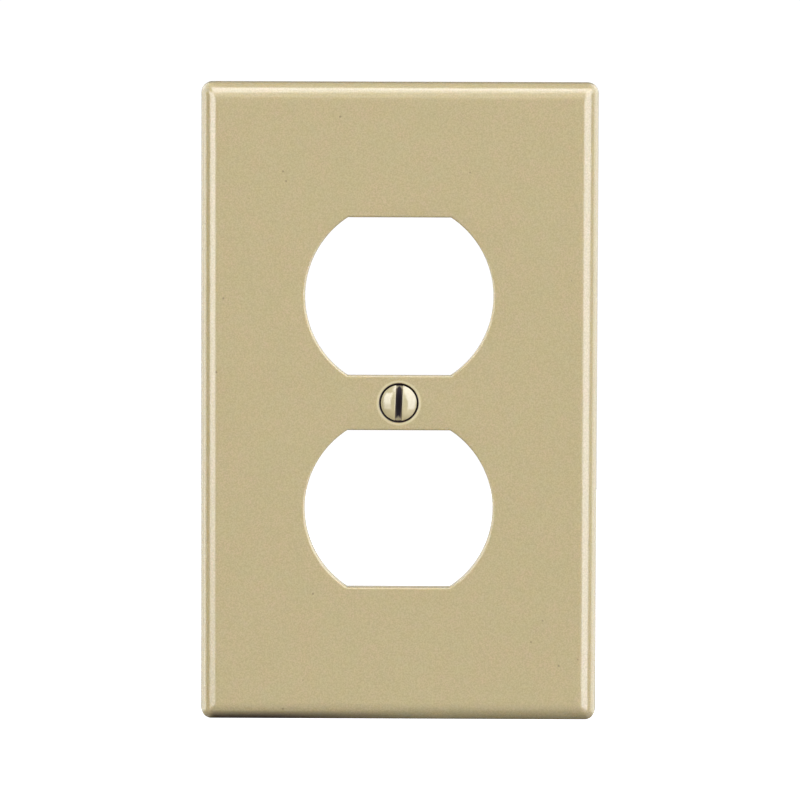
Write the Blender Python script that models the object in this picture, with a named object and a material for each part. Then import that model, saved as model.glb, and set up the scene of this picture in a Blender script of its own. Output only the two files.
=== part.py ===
"""One-gang wall plate for a duplex receptacle, with its captive mounting screw.

Frame: metres, +Z up, +X to the right as the plate is seen on the wall. The plate's
front faces -Y. The origin is on the screw's axis, in the plane of the wall that
the plate's rim rests on, so the whole plate lies at y <= 0 and the screw's tip
passes behind the wall plane.

Pieces
  wall_plate              one moulding: face, side wall, collars, ribs, screw boss
  mounting_screw          slotted oval-head No. 6-32 machine screw
  screw_retaining_washer  thin washer on the screw's thread, behind the boss
"""

import math

import bmesh
import bpy
from mathutils import Matrix, Vector

MM = 0.001

# ---------------------------------------------------------------- plate, outside
PLATE_WIDTH = 73.0 * MM  # 2 7/8 in
PLATE_HEIGHT = 117.5 * MM  # 4 5/8 in
PLATE_DEPTH = 6.0 * MM  # wall plane to front face
CORNER_RADIUS = 2.1 * MM  # outline at the wall plane
SIDE_DRAFT = math.radians(5.0)  # side wall leans in towards the front
FRONT_FILLET = 3.4 * MM  # rolled edge between side wall and face
BACK_EDGE_BREAK = 0.15 * MM
CORNER_SEGMENTS = 8
FILLET_SEGMENTS = 8

# ----------------------------------------------------------------- plate, inside
FACE_WALL = 2.3 * MM
RIM_WIDTH = 1.8 * MM
INNER_DRAFT = math.radians(4.0)
INNER_FILLET = 1.0 * MM
INNER_FILLET_SEGMENTS = 3

# ------------------------------------------------------------ receptacle openings
OPENING_RADIUS = 17.25 * MM
OPENING_FLAT = 14.45 * MM  # half the height between the flats
OPENING_OFFSET = 19.45 * MM  # centre of each opening above or below the screw
OPENING_EDGE_RADIUS = 0.3 * MM
OPENING_ARC_SEGMENTS = 20  # on each side arc
COLLAR_WIDTH = 1.2 * MM
COLLAR_HEIGHT = 1.4 * MM

# ---------------------------------------------------------- screw boss and hole
BOSS_RADIUS = 4.2 * MM
BOSS_BACK = -0.4 * MM  # boss stops just short of the wall plane
HOLE_RADIUS = 2.0 * MM  # clearance for a No. 6 screw
COUNTERSINK_RADIUS = 3.6 * MM
COUNTERSINK_HALF_ANGLE = math.radians(41.0)
ROUND_SEGMENTS = 32

# -------------------------------------------------------------------------- ribs
RIB_WIDTH = 1.0 * MM
SIDE_RIB_X = 24.0 * MM
SIDE_RIB_HEIGHT = 1.5 * MM
CROSS_RIB_Z = 41.0 * MM
CROSS_RIB_HEIGHT = 1.6 * MM
BOSS_RIB_HEIGHT = 2.0 * MM

# ------------------------------------------------------------------------- screw
THREAD_PITCH = 25.4 / 32 * MM
THREAD_MAJOR_RADIUS = 3.505 / 2 * MM
THREAD_DEPTH = 0.487 * MM
SCREW_LENGTH = 15.9 * MM  # face plane to tip, 5/8 in
HEAD_RADIUS = 3.28 * MM
HEAD_RIM = 0.16 * MM  # short upright edge below the dome
HEAD_DOME = 1.12 * MM
HEAD_HALF_ANGLE = math.radians(41.0)
NECK_RADIUS = 1.40 * MM
THREAD_START = 3.3 * MM  # from the face plane
TIP_RADIUS = 1.05 * MM
SLOT_WIDTH = 1.05 * MM
SLOT_BOTTOM = 0.22 * MM  # below the face plane
SLOT_TILT = math.radians(2.2)
SCREW_SEGMENTS = 20

# ------------------------------------------------------------------------ washer
WASHER_RADIUS = 3.55 * MM
WASHER_BORE = 2.0 * MM
WASHER_THICKNESS = 0.8 * MM
WASHER_EDGE = 0.12 * MM
SCREW_TRAVEL = 4.7 * MM  # outwards, until the washer meets the boss
CLEARANCE = 0.3 * MM

FRONT = -PLATE_DEPTH
CEILING = FRONT + FACE_WALL


# ---------------------------------------------------------------------- helpers
def material(name, colour, roughness, metallic):
    """A Principled material with the piece's own colour and finish."""
    mat = bpy.data.materials.new(name)
    mat.use_nodes = True
    shader = mat.node_tree.nodes["Principled BSDF"]
    shader.inputs["Base Color"].default_value = (*colour, 1.0)
    shader.inputs["Roughness"].default_value = roughness
    shader.inputs["Metallic"].default_value = metallic
    return mat


def object_from(name, bm, mat=None):
    """Close a bmesh into a named object with its faces pointing outwards."""
    bmesh.ops.recalc_face_normals(bm, faces=bm.faces)
    mesh = bpy.data.meshes.new(name)
    bm.to_mesh(mesh)
    bm.free()
    obj = bpy.data.objects.new(name, mesh)
    bpy.context.scene.collection.objects.link(obj)
    if mat is not None:
        mesh.materials.append(mat)
    return obj


def guide(obj):
    """A construction solid: shown as wire, never rendered."""
    obj.hide_render = True
    obj.display_type = "WIRE"
    return obj


def boolean(obj, other, operation):
    mod = obj.modifiers.new(operation.lower() + "_" + other.name, "BOOLEAN")
    mod.operation = operation
    mod.solver = "EXACT"
    mod.object = other
    return mod


def smooth(obj, angle):
    obj.data.shade_smooth()
    obj.data.set_sharp_from_angle(angle=math.radians(angle))


def rounded_rectangle(inset, y, least_radius):
    """The plate's outline, moved inwards by inset, in the plane at y."""
    half_w, half_h = PLATE_WIDTH / 2 - inset, PLATE_HEIGHT / 2 - inset
    radius = max(CORNER_RADIUS - inset, least_radius)
    points = []
    corners = ((1, 1, 0), (-1, 1, 90), (-1, -1, 180), (1, -1, 270))
    for sx, sz, start in corners:
        cx, cz = sx * (half_w - radius), sz * (half_h - radius)
        for step in range(CORNER_SEGMENTS + 1):
            a = math.radians(start + 90.0 * step / CORNER_SEGMENTS)
            points.append(
                Vector((cx + radius * math.cos(a), y, cz + radius * math.sin(a)))
            )
    return points


def opening_outline(grow, y, centre_z):
    """A circle cut off by an upper and a lower flat, grown outwards by grow."""
    radius, flat = OPENING_RADIUS + grow, OPENING_FLAT + grow
    limit = math.asin(flat / radius)
    points = []
    for side in (0.0, math.pi):
        for step in range(OPENING_ARC_SEGMENTS + 1):
            a = side - limit + 2 * limit * step / OPENING_ARC_SEGMENTS
            points.append(
                Vector((radius * math.cos(a), y, centre_z + radius * math.sin(a)))
            )
    return points


def circle(radius, y, count):
    return [
        Vector(
            (
                radius * math.cos(2 * math.pi * i / count),
                y,
                radius * math.sin(2 * math.pi * i / count),
            )
        )
        for i in range(count)
    ]


def loft(bm, rings, close=False):
    """Join rings of equal count; cap both ends, or join the last to the first."""
    loops = [[bm.verts.new(p) for p in ring] for ring in rings]
    pairs = list(zip(loops, loops[1:]))
    if close:
        pairs.append((loops[-1], loops[0]))
    for a, b in pairs:
        for i in range(len(a)):
            j = (i + 1) % len(a)
            bm.faces.new((a[i], a[j], b[j], b[i]))
    if not close:
        bm.faces.new(loops[0])
        bm.faces.new(loops[-1])
    return loops


def box(bm, x0, x1, y0, y1, z0, z1):
    size = Vector((x1 - x0, y1 - y0, z1 - z0))
    centre = Vector((x0 + x1, y0 + y1, z0 + z1)) / 2
    bmesh.ops.create_cube(
        bm, size=1.0, matrix=Matrix.Translation(centre) @ Matrix.Diagonal((*size, 1.0))
    )


# ------------------------------------------------------------------- wall plate
def outer_profile():
    """(inset, y) from the back of the rim, up the drafted wall and round the fillet."""
    b = BACK_EDGE_BREAK
    points = [(b, 0.0), (0.0, -b)]
    cy = FRONT + FRONT_FILLET
    cs = (FRONT_FILLET - cy * math.sin(SIDE_DRAFT)) / math.cos(SIDE_DRAFT)
    for step in range(FILLET_SEGMENTS + 1):
        a = SIDE_DRAFT + (math.pi / 2 - SIDE_DRAFT) * step / FILLET_SEGMENTS
        points.append(
            (cs - FRONT_FILLET * math.cos(a), cy - FRONT_FILLET * math.sin(a))
        )
    return points


def inner_profile():
    """(inset, y) from the rim's inner edge down to the inside of the face."""
    points = [(RIM_WIDTH, 0.0)]
    cy = CEILING + INNER_FILLET
    cs = (
        RIM_WIDTH
        + (INNER_FILLET - cy * math.sin(INNER_DRAFT)) / math.cos(INNER_DRAFT)
    )
    for step in range(INNER_FILLET_SEGMENTS + 1):
        a = INNER_DRAFT + (math.pi / 2 - INNER_DRAFT) * step / INNER_FILLET_SEGMENTS
        points.append(
            (cs - INNER_FILLET * math.cos(a), cy - INNER_FILLET * math.sin(a))
        )
    return points


def make_shell(mat):
    """The hollow tray: outside from the face to the rim, inside from rim to face."""
    outside = [rounded_rectangle(s, y, 0.25 * MM) for s, y in reversed(outer_profile())]
    inside = [rounded_rectangle(s, y, 0.6 * MM) for s, y in inner_profile()]
    bm = bmesh.new()
    loft(bm, outside + inside)
    return object_from("wall_plate", bm, mat)


def make_reinforcement():
    """Boss, ribs and collars, each sunk into the face so that they join it."""
    root = CEILING - 0.8 * MM
    pieces = []

    bm = bmesh.new()
    loft(bm, [circle(BOSS_RADIUS, y, ROUND_SEGMENTS) for y in (root, BOSS_BACK)])
    pieces.append(("screw_boss", bm))

    for name, sign in (("upper_collar", 1), ("lower_collar", -1)):
        bm = bmesh.new()
        z = sign * OPENING_OFFSET
        loft(
            bm,
            [
                opening_outline(COLLAR_WIDTH, root, z),
                opening_outline(COLLAR_WIDTH, CEILING + COLLAR_HEIGHT, z),
            ],
        )
        pieces.append((name, bm))

    wall = RIM_WIDTH / 2
    end_x, end_z = PLATE_WIDTH / 2 - wall, PLATE_HEIGHT / 2 - wall
    half = RIB_WIDTH / 2
    for name, sign in (("right_rib", 1), ("left_rib", -1)):
        bm = bmesh.new()
        x = sign * SIDE_RIB_X
        top = CEILING + SIDE_RIB_HEIGHT
        box(bm, x - half, x + half, root, top, -end_z, end_z)
        pieces.append((name, bm))
    for name, sign in (("upper_rib", 1), ("lower_rib", -1)):
        bm = bmesh.new()
        z = sign * CROSS_RIB_Z
        top = CEILING + CROSS_RIB_HEIGHT
        box(bm, -end_x, end_x, root, top, z - half, z + half)
        pieces.append((name, bm))
    bm = bmesh.new()
    box(bm, -end_x, end_x, root, CEILING + BOSS_RIB_HEIGHT, -half, half)
    pieces.append(("boss_rib", bm))
    return [guide(object_from(name, bm)) for name, bm in pieces]


def make_opening_cutter(name, z):
    """Through cut with a rolled front edge."""
    r = OPENING_EDGE_RADIUS
    rings = [opening_outline(r + 0.2 * MM, FRONT - 0.5 * MM, z)]
    rings.append(opening_outline(r + 0.02 * MM, FRONT - 0.02 * MM, z))
    for step in range(4):
        a = math.radians(22.5 + 22.5 * step)
        rings.append(
            opening_outline(r - r * math.sin(a), FRONT + r - r * math.cos(a), z)
        )
    rings.append(opening_outline(0.0, 1.0 * MM, z))
    bm = bmesh.new()
    loft(bm, rings)
    return guide(object_from(name, bm))


def make_screw_hole_cutter():
    """Countersink and clearance hole."""
    t = math.tan(COUNTERSINK_HALF_ANGLE)
    over = 0.4 * MM
    depth = (COUNTERSINK_RADIUS - HOLE_RADIUS) / t
    stations = (
        (COUNTERSINK_RADIUS + 0.3 * MM, FRONT - over),
        (COUNTERSINK_RADIUS + 0.04 * MM, FRONT - 0.01 * MM),
        (COUNTERSINK_RADIUS - 0.04 * MM, FRONT + 0.07 * MM),
        (HOLE_RADIUS, FRONT + depth + 0.03 * MM),
        (HOLE_RADIUS, 1.0 * MM),
    )
    bm = bmesh.new()
    loft(bm, [circle(r, y, ROUND_SEGMENTS) for r, y in stations])
    return guide(object_from("screw_hole_cutter", bm))


def make_wall_plate():
    mat = material("ivory_nylon", (0.560, 0.475, 0.280), 0.38, 0.0)
    plate = make_shell(mat)
    for piece in make_reinforcement():
        boolean(plate, piece, "UNION")
    for cutter in (
        make_opening_cutter("upper_opening_cutter", OPENING_OFFSET),
        make_opening_cutter("lower_opening_cutter", -OPENING_OFFSET),
        make_screw_hole_cutter(),
    ):
        boolean(plate, cutter, "DIFFERENCE")
    smooth(plate, 32)
    return plate


# ------------------------------------------------------------------------ screw
def thread_levels():
    """(fraction of a pitch, radius) of one turn: root flat, flank, crest flat, flank."""
    root, crest = THREAD_MAJOR_RADIUS - THREAD_DEPTH, THREAD_MAJOR_RADIUS
    return ((0.0, root), (0.25, root), (0.5625, crest), (0.6875, crest))


def make_mounting_screw():
    """Local frame: the head's rim plane is y = 0 and the tip is at +y."""
    n = SCREW_SEGMENTS
    root = THREAD_MAJOR_RADIUS - THREAD_DEPTH
    levels = thread_levels()
    start, end = THREAD_START, SCREW_LENGTH
    turns = int(math.ceil((end - start) / THREAD_PITCH)) + 1

    bm = bmesh.new()
    known = {}

    def vertex(radius, angle_index, y):
        a = 2 * math.pi * (angle_index % n) / n
        p = Vector((radius * math.cos(a), y, radius * math.sin(a)))
        key = tuple(round(c * 1e7) for c in p)
        if key not in known:
            known[key] = bm.verts.new(p)
        return known[key]

    def triangle(a, b, c):
        if len({a, b, c}) == 3:
            bm.faces.new((a, b, c))

    def quad(a, b, c, d):
        triangle(a, b, c)
        triangle(a, c, d)

    def thread_point(i, j):
        """Column i round the screw, row j along it, rising one pitch per turn."""
        turn, k = divmod(j, len(levels))
        fraction, radius = levels[k]
        y = start + (turn + fraction - 1 + i / n) * THREAD_PITCH
        y = min(max(y, start), end)
        run_in = root + (y - start)
        run_out = TIP_RADIUS + (end - y)
        return min(radius, run_in, run_out), y

    rows = (turns + 1) * len(levels)
    for i in range(n):
        for j in range(rows):
            corners = []
            for di, dj in ((0, 0), (1, 0), (1, 1), (0, 1)):
                radius, y = thread_point(i + di, j + dj)
                corners.append(vertex(radius, i + di, y))
            quad(*corners)

    # head, from the neck's end at the first thread up to the crown
    dome_radius = (HEAD_RADIUS**2 + HEAD_DOME**2) / (2 * HEAD_DOME)
    cone_end = HEAD_RIM + (HEAD_RADIUS - NECK_RADIUS) / math.tan(HEAD_HALF_ANGLE)
    stations = [
        (root, start),
        (NECK_RADIUS, start - 0.2 * MM),
        (NECK_RADIUS, cone_end),
        (HEAD_RADIUS, HEAD_RIM),
        (HEAD_RADIUS, 0.03 * MM),
        (HEAD_RADIUS - 0.06 * MM, -0.02 * MM),
    ]
    for share in (0.9, 0.75, 0.58, 0.4, 0.2):
        r = HEAD_RADIUS * share
        stations.append(
            (r, dome_radius - HEAD_DOME - math.sqrt(dome_radius**2 - r**2))
        )
    rings = [[vertex(r, i, y) for i in range(n)] for r, y in stations]
    for a, b in zip(rings, rings[1:]):
        for i in range(n):
            j = (i + 1) % n
            quad(a[i], b[i], b[j], a[j])
    crown = bm.verts.new((0.0, -HEAD_DOME, 0.0))
    for i in range(n):
        triangle(rings[-1][i], crown, rings[-1][(i + 1) % n])

    tip = [vertex(TIP_RADIUS, i, end) for i in range(n)]
    tip_centre = bm.verts.new((0.0, end, 0.0))
    for i in range(n):
        triangle(tip[i], tip[(i + 1) % n], tip_centre)

    mat = material("painted_steel_screw", (0.660, 0.580, 0.400), 0.25, 0.0)
    screw = object_from("mounting_screw", bm, mat)
    screw.location = (0.0, FRONT, 0.0)

    bm = bmesh.new()
    half = SLOT_WIDTH / 2
    reach = HEAD_RADIUS + 1.0 * MM
    box(bm, -half, half, -HEAD_DOME - 1.0 * MM, SLOT_BOTTOM, -reach, reach)
    cutter = guide(object_from("screw_slot_cutter", bm))
    cutter.location = screw.location
    cutter.rotation_euler = (0.0, SLOT_TILT, 0.0)
    boolean(screw, cutter, "DIFFERENCE")
    smooth(screw, 35)
    return screw


# ----------------------------------------------------------------------- washer
def make_retaining_washer():
    """Local frame: the washer's front face is y = 0, its back face is at +y."""
    e, t = WASHER_EDGE, WASHER_THICKNESS
    section = (
        (WASHER_BORE + e, 0.0),
        (WASHER_RADIUS - e, 0.0),
        (WASHER_RADIUS, e),
        (WASHER_RADIUS, t - e),
        (WASHER_RADIUS - e, t),
        (WASHER_BORE + e, t),
        (WASHER_BORE, t - e),
        (WASHER_BORE, e),
    )
    bm = bmesh.new()
    loft(bm, [circle(r, y, ROUND_SEGMENTS) for r, y in section], close=True)
    mat = material("natural_nylon_washer", (0.760, 0.740, 0.660), 0.45, 0.0)
    washer = object_from("screw_retaining_washer", bm, mat)
    washer.location = (0.0, BOSS_BACK + CLEARANCE + SCREW_TRAVEL, 0.0)
    smooth(washer, 30)
    return washer


def main():
    for obj in list(bpy.data.objects):
        bpy.data.objects.remove(obj, do_unlink=True)
    make_wall_plate()
    make_mounting_screw()
    make_retaining_washer()


main()
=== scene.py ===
import math

import bmesh
import bpy
import numpy as np
from mathutils import Matrix, Vector
from mathutils.geometry import delaunay_2d_cdt


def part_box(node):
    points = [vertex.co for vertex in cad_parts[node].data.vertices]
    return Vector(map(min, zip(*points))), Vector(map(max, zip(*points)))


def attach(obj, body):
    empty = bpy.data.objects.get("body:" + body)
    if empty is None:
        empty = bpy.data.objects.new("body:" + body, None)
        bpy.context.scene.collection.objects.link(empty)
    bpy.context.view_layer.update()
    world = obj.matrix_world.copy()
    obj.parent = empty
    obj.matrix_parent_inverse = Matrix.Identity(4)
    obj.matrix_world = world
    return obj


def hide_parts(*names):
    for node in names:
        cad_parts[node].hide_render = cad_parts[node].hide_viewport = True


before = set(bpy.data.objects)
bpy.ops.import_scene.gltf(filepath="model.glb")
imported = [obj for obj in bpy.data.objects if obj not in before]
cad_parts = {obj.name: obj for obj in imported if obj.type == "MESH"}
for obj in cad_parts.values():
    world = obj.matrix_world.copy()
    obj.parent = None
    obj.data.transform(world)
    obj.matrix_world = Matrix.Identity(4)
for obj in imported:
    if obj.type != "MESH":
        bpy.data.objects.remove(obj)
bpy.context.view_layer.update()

MM = 0.001

# ------------------------------------------------------------------ dimensions
# The plate's own sizes, in millimetres; width, height and depth come from the
# frame, the rest is its moulded form.
plate_lo, plate_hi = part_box("wall_plate")
screw_lo, screw_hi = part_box("mounting_screw")
washer_lo, washer_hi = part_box("screw_retaining_washer")

W = (plate_hi.x - plate_lo.x) / MM
H = (plate_hi.z - plate_lo.z) / MM
D = (plate_hi.y - plate_lo.y) / MM
FRONT = plate_lo.y / MM
BACK = plate_hi.y / MM

CORNER = 2.1
DRAFT = math.radians(5.0)
FILLET = 3.4
FACE_WALL = 2.3
CEILING = FRONT + FACE_WALL
RIM = 1.8
INNER_DRAFT = math.radians(4.0)
INNER_FILLET = 1.0

OPEN_R = 17.25
OPEN_F = 14.45
OPEN_Z = 19.45
OPEN_EDGE = 0.36
OPEN_CORNER = 0.45
COLLAR_W = 1.2
COLLAR_H = 1.4

BOSS_R = 4.2
BOSS_BACK = -0.4
HOLE_R = 2.0
SINK_R = 3.64
SINK_MOUTH = 0.22
SINK_HALF = math.radians(41.0)

RIB_W = 1.0
SIDE_RIB_X = 24.0
CROSS_RIB_Z = 41.0

PITCH = 25.4 / 32
MAJOR = 3.505 / 2
THREAD_DEPTH = 0.487
HEAD_R = 3.265
DOME_TILT = math.radians(40.4)
DOME_POWER = 1.46
HEAD_HALF = math.radians(41.0)
NECK_R = 1.40
THREAD_START = 3.3
SCREW_LENGTH = 15.9
TIP_R = 1.05
SLOT_TILT = math.radians(2.2)
SLOT_HALF = 0.585

IVORY = ((0.603, 0.537, 0.309), (0.655, 0.524, 0.325), (0.615, 0.541, 0.299), (0.503, 0.425, 0.232))
MOUTH_HIGHLIGHT = (0.745, 0.665, 0.410)  # painted highlight: a paler ring on the countersink's rounded mouth
# painted shade for the slot's near-black core
SLOT_SHADE = (0.062, 0.052, 0.060)
# painted shade for the gap between the screw's head and its countersink
GAP_SHADE = (0.056, 0.040, 0.042)
# painted shade for the slot's walls, lighter than its core
SLOT_WALL_SHADE = (0.17, 0.138, 0.105)
# painted shade for the lower rolled edge
LOWER_EDGE_SHADE = (0.058, 0.036, 0.038)
PAINT = ((0.566, 0.500, 0.292), (0.610, 0.542, 0.325), (0.515, 0.450, 0.262))
# painted light for the lower part of the screw's head
PAINT_LIT_FROM_BELOW = (0.690, 0.590, 0.330)


# --------------------------------------------------------------- mesh building
class Builder:
    """Collects vertices in millimetres and joins equal ones, so that every
    surface built from it is one closed skin."""

    def __init__(self, grain=2e-4):
        self.bm = bmesh.new()
        self.known = {}
        self.grain = grain

    def v(self, p):
        key = tuple(int(round(c / self.grain)) for c in p)
        found = self.known.get(key)
        if found is None:
            found = self.bm.verts.new((p[0] * MM, p[1] * MM, p[2] * MM))
            self.known[key] = found
        return found

    def face(self, verts):
        out = []
        for v in verts:
            if v not in out:
                out.append(v)
        if len(out) < 3:
            return
        try:
            self.bm.faces.new(out)
        except ValueError:
            pass

    def loft(self, rings, closed=True):
        loops = [[self.v(p) for p in ring] for ring in rings]
        n = len(loops[0])
        for a, b in zip(loops, loops[1:]):
            for i in range(n if closed else n - 1):
                j = (i + 1) % n
                self.face((a[i], a[j], b[j], b[i]))
        return loops

    def zip_rings(self, a, b):
        """Join two rings round the Y axis that have different counts."""
        def angle(v):
            return math.atan2(v.co.z, v.co.x) % (2 * math.pi)

        a = sorted(a, key=angle)
        b = sorted(b, key=angle)
        i = j = 0
        while i < len(a) or j < len(b):
            ta = angle(a[(i + 1) % len(a)]) + (2 * math.pi if i + 1 >= len(a) else 0)
            tb = angle(b[(j + 1) % len(b)]) + (2 * math.pi if j + 1 >= len(b) else 0)
            if j >= len(b) or (i < len(a) and ta <= tb):
                self.face((a[i % len(a)], a[(i + 1) % len(a)], b[j % len(b)]))
                i += 1
            else:
                self.face((a[i % len(a)], b[(j + 1) % len(b)], b[j % len(b)]))
                j += 1

    def plane(self, y, outer, holes, inside, spacing, slack=1.2):
        """Fill a flat region at height y between loops, with even interior points."""
        coords, edges = [], []

        def add_loop(points):
            first = len(coords)
            for p in points:
                coords.append(Vector((p[0], p[2])))
            n = len(coords) - first
            for i in range(n):
                edges.append((first + i, first + (i + 1) % n))

        add_loop(outer)
        for hole in holes:
            add_loop(hole)
        xs = [p[0] for p in outer]
        zs = [p[2] for p in outer]
        nx = int((max(xs) - min(xs)) / spacing)
        nz = int((max(zs) - min(zs)) / spacing)
        for i in range(1, nx):
            for k in range(1, nz):
                x = min(xs) + (max(xs) - min(xs)) * i / nx
                z = min(zs) + (max(zs) - min(zs)) * k / nz
                if inside(x, z, slack):
                    coords.append(Vector((x, z)))
        out, _, faces, _, _, _ = delaunay_2d_cdt(coords, edges, [], 0, 1e-5)
        for f in faces:
            cx = sum(out[i][0] for i in f) / len(f)
            cz = sum(out[i][1] for i in f) / len(f)
            if inside(cx, cz, 0.0):
                self.face([self.v((out[i][0], y, out[i][1])) for i in f])

    def finish(self, name):
        bmesh.ops.recalc_face_normals(self.bm, faces=self.bm.faces)
        mesh = bpy.data.meshes.new(name)
        self.bm.to_mesh(mesh)
        self.bm.free()
        obj = bpy.data.objects.new(name, mesh)
        bpy.context.scene.collection.objects.link(obj)
        return obj


def arc(cx, cy, r, a0, a1, steps):
    """Points of an arc in a section, as (across, depth)."""
    return [
        (
            cx + r * math.cos(math.radians(a0 + (a1 - a0) * k / steps)),
            cy + r * math.sin(math.radians(a0 + (a1 - a0) * k / steps)),
        )
        for k in range(steps + 1)
    ]


CORNER_STEPS = 14
SIDE_X, SIDE_Z = 14, 24


def outline(inset, y, least=0.22):
    """The plate's outline moved inwards, with points along the straight sides.
    The corners tighten faster than the inset, so the rolled edges meet in a
    soft mitre."""
    hw, hh = W / 2 - inset, H / 2 - inset
    if least < 0.5:
        r = max(CORNER * math.exp(-inset / 1.9), least)
    else:
        r = max(CORNER - inset, least)
    pts = []
    corners = ((1, 1, 0), (-1, 1, 90), (-1, -1, 180), (1, -1, 270))
    for n, (sx, sz, start) in enumerate(corners):
        cx, cz = sx * (hw - r), sz * (hh - r)
        for k in range(CORNER_STEPS + 1):
            a = math.radians(start + 90 * k / CORNER_STEPS)
            pts.append((cx + r * math.cos(a), y, cz + r * math.sin(a)))
        last = pts[-1]
        nsx, nsz, nstart = corners[(n + 1) % 4]
        na = math.radians(nstart)
        nxt = (nsx * (hw - r) + r * math.cos(na), y, nsz * (hh - r) + r * math.sin(na))
        count = SIDE_X if n % 2 == 0 else SIDE_Z
        for k in range(1, count):
            t = k / count
            pts.append(
                (last[0] + (nxt[0] - last[0]) * t, y, last[2] + (nxt[2] - last[2]) * t)
            )
    return pts


ARC_STEPS, BEND_STEPS, FLAT_STEPS = 44, 5, 10


def opening(grow, y, z0):
    """Opening outline: side arcs, flats and small bends where they meet."""
    r, f, c = OPEN_R, OPEN_F, OPEN_CORNER
    zc = f - c
    xc = math.sqrt((r - c) ** 2 - zc**2)
    t0 = math.atan2(zc, xc)
    pts = []
    for side in (0.0, math.pi):
        for k in range(ARC_STEPS + 1):
            a = side - t0 + 2 * t0 * k / ARC_STEPS
            pts.append(((r + grow) * math.cos(a), y, z0 + (r + grow) * math.sin(a)))
        sx = 1 if side == 0.0 else -1
        for k in range(1, BEND_STEPS + 1):
            a = side + t0 + (math.pi / 2 - t0) * k / BEND_STEPS
            pts.append(
                (
                    sx * xc + (c + grow) * math.cos(a),
                    y,
                    z0 + sx * zc + (c + grow) * math.sin(a),
                )
            )
        for k in range(1, FLAT_STEPS):
            t = k / FLAT_STEPS
            pts.append((sx * (xc - 2 * xc * t), y, z0 + sx * (f + grow)))
        for k in range(0, BEND_STEPS):
            a = side + math.pi / 2 + (math.pi / 2 - t0) * k / BEND_STEPS
            pts.append(
                (
                    -sx * xc + (c + grow) * math.cos(a),
                    y,
                    z0 + sx * zc + (c + grow) * math.sin(a),
                )
            )
    return pts


def in_opening(x, z, grow):
    z = abs(z) - OPEN_Z
    return math.hypot(x, z) < OPEN_R + grow and abs(z) < OPEN_F + grow


def circle(r, y, n, cx=0.0, cz=0.0):
    return [
        (
            cx + r * math.cos(2 * math.pi * i / n),
            y,
            cz + r * math.sin(2 * math.pi * i / n),
        )
        for i in range(n)
    ]


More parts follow.
